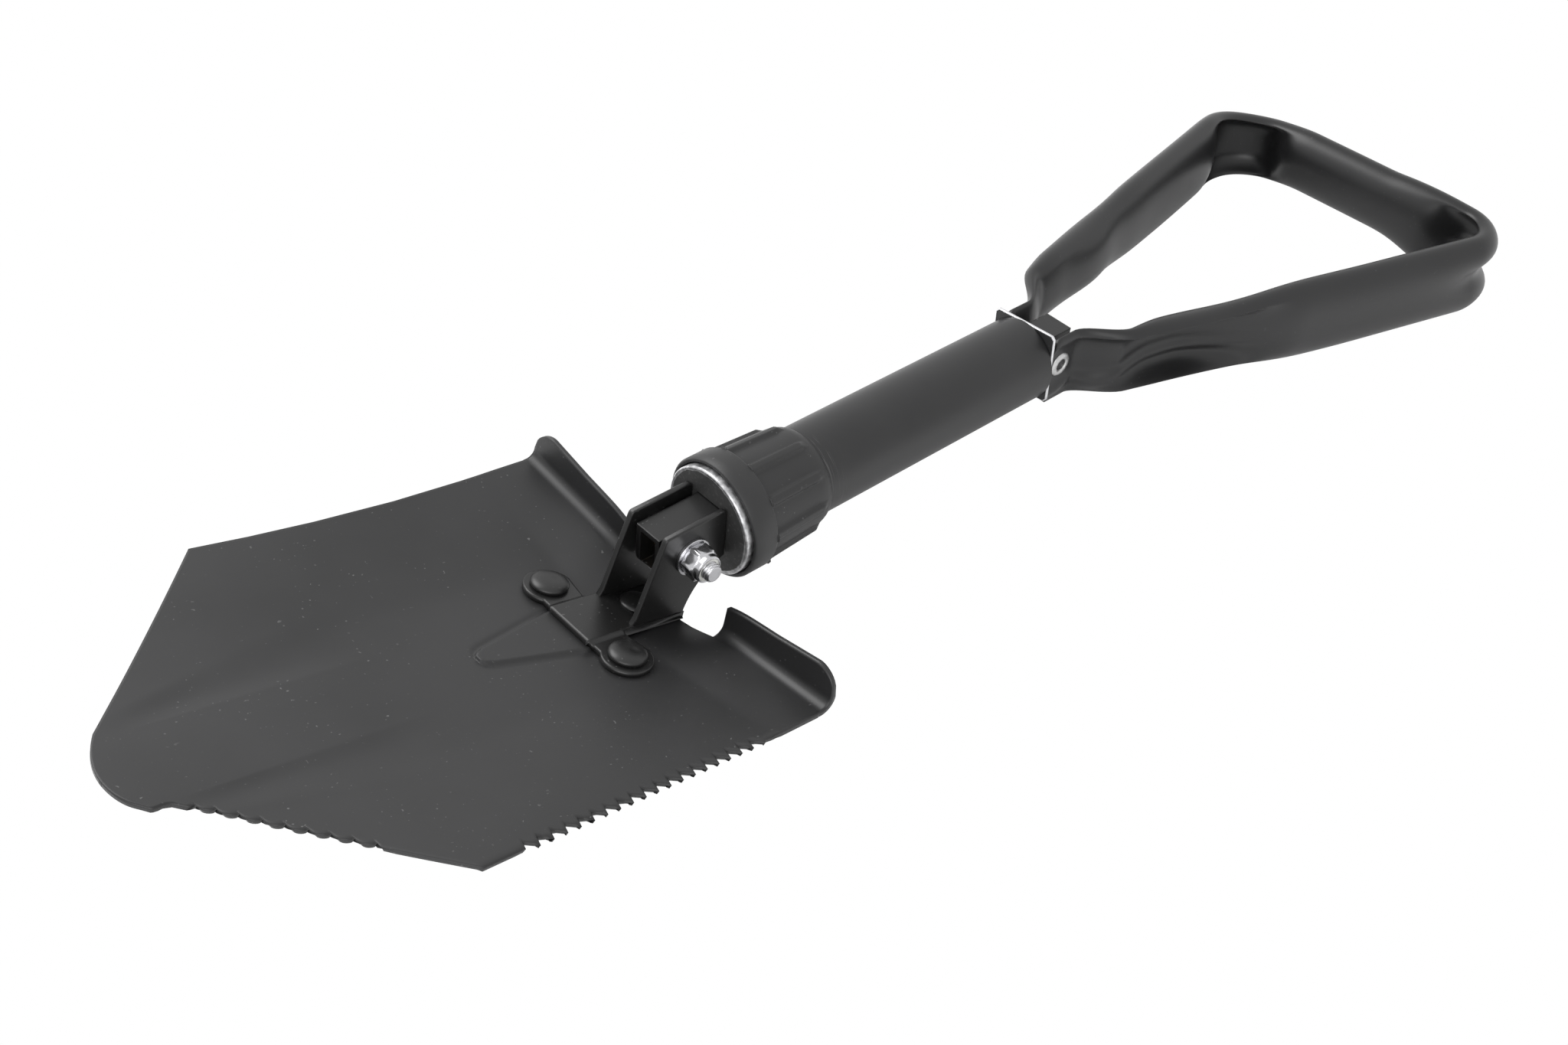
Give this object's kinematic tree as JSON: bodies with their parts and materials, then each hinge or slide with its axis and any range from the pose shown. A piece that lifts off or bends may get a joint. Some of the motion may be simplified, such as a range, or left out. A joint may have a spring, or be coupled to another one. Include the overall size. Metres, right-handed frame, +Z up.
{
  "type": "folding camp shovel",
  "caption": "Folding camp shovel with a saw-edged pressed blade on a hinge locked by a ribbed screw collar, a short tube shaft and a folding D-handle.",
  "frame": {"origin": "centre of the base of the bounding box, unfolded", "axes": "+X along the shaft from blade tip to D-handle, +Y across, +Z up from the blade's working face; the saw edge is on the -Y side"},
  "size_m": [0.5455, 0.1422, 0.0455],
  "materials": {
    "black_coat": "satin dark charcoal powder coat, worn on edges",
    "zinc_steel": "bright zinc plate",
    "bare_steel": "machined steel",
    "dark_rivet": "coated rivet heads",
    "spring_steel": "oiled spring wire",
    "bronze": "plain bearing bronze",
    "nylon": "natural nylon"
  },
  "bodies": {
    "shaft": {"shaft_tube": "black_coat", "threaded_sleeve": "bare_steel", "front_plug": "bare_steel", "plug_pin": "bare_steel", "pivot_block": "black_coat", "pivot_bush": "bronze", "rear_guide": "bare_steel", "end_plate": "zinc_steel"},
    "lock_disc": {"pressure_disc": "black_coat"},
    "collar": {"locking_collar": "black_coat"},
    "blade": {"blade": "black_coat", "blade_bracket": "black_coat", "blade_rivets": "dark_rivet", "pivot_washers": "zinc_steel", "pivot_spacers": "zinc_steel", "pivot_bolt": "zinc_steel", "pivot_lock_nut": "zinc_steel", "nut_insert": "nylon"},
    "handle_mount": {"handle_block": "black_coat", "pull_rod": "bare_steel", "spring_cup": "zinc_steel", "rod_nut": "zinc_steel", "handle_spring": "spring_steel", "handle_pin": "bare_steel", "pin_washers": "zinc_steel"},
    "handle": {"d_handle": "black_coat"}
  },
  "joints": [
    {"name": "blade_fold", "type": "hinge", "parent": "shaft", "child": "blade", "pos_m": [-0.09585, 0, 0.0255], "axis": [0, 1, 0], "range_deg": [0, 165]},
    {"name": "disc_slide", "type": "slide", "parent": "shaft", "child": "lock_disc", "axis": [1, 0, 0], "range_m": [0, 0.0203]},
    {"name": "collar_turn", "type": "hinge", "parent": "lock_disc", "child": "collar", "pos_m": [-0.06205, 0, 0.0255], "axis": [1, 0, 0], "range_deg": [0, 910]},
    {"name": "handle_pull", "type": "slide", "parent": "shaft", "child": "handle_mount", "axis": [1, 0, 0], "range_m": [0, 0.0232], "deforming": ["handle_spring"]},
    {"name": "handle_fold", "type": "hinge", "parent": "handle_mount", "child": "handle", "pos_m": [0.06915, 0, 0.0255], "axis": [0, 1, 0], "range_deg": [0, 165]}
  ],
  "couplings": [
    {"joint": "disc_slide", "follows": "blade_fold", "m_per_rad": 0.007},
    {"joint": "collar_turn", "follows": "blade_fold", "ratio": 5.4978},
    {"joint": "handle_pull", "follows": "handle_fold", "m_per_rad": 0.008}
  ]
}
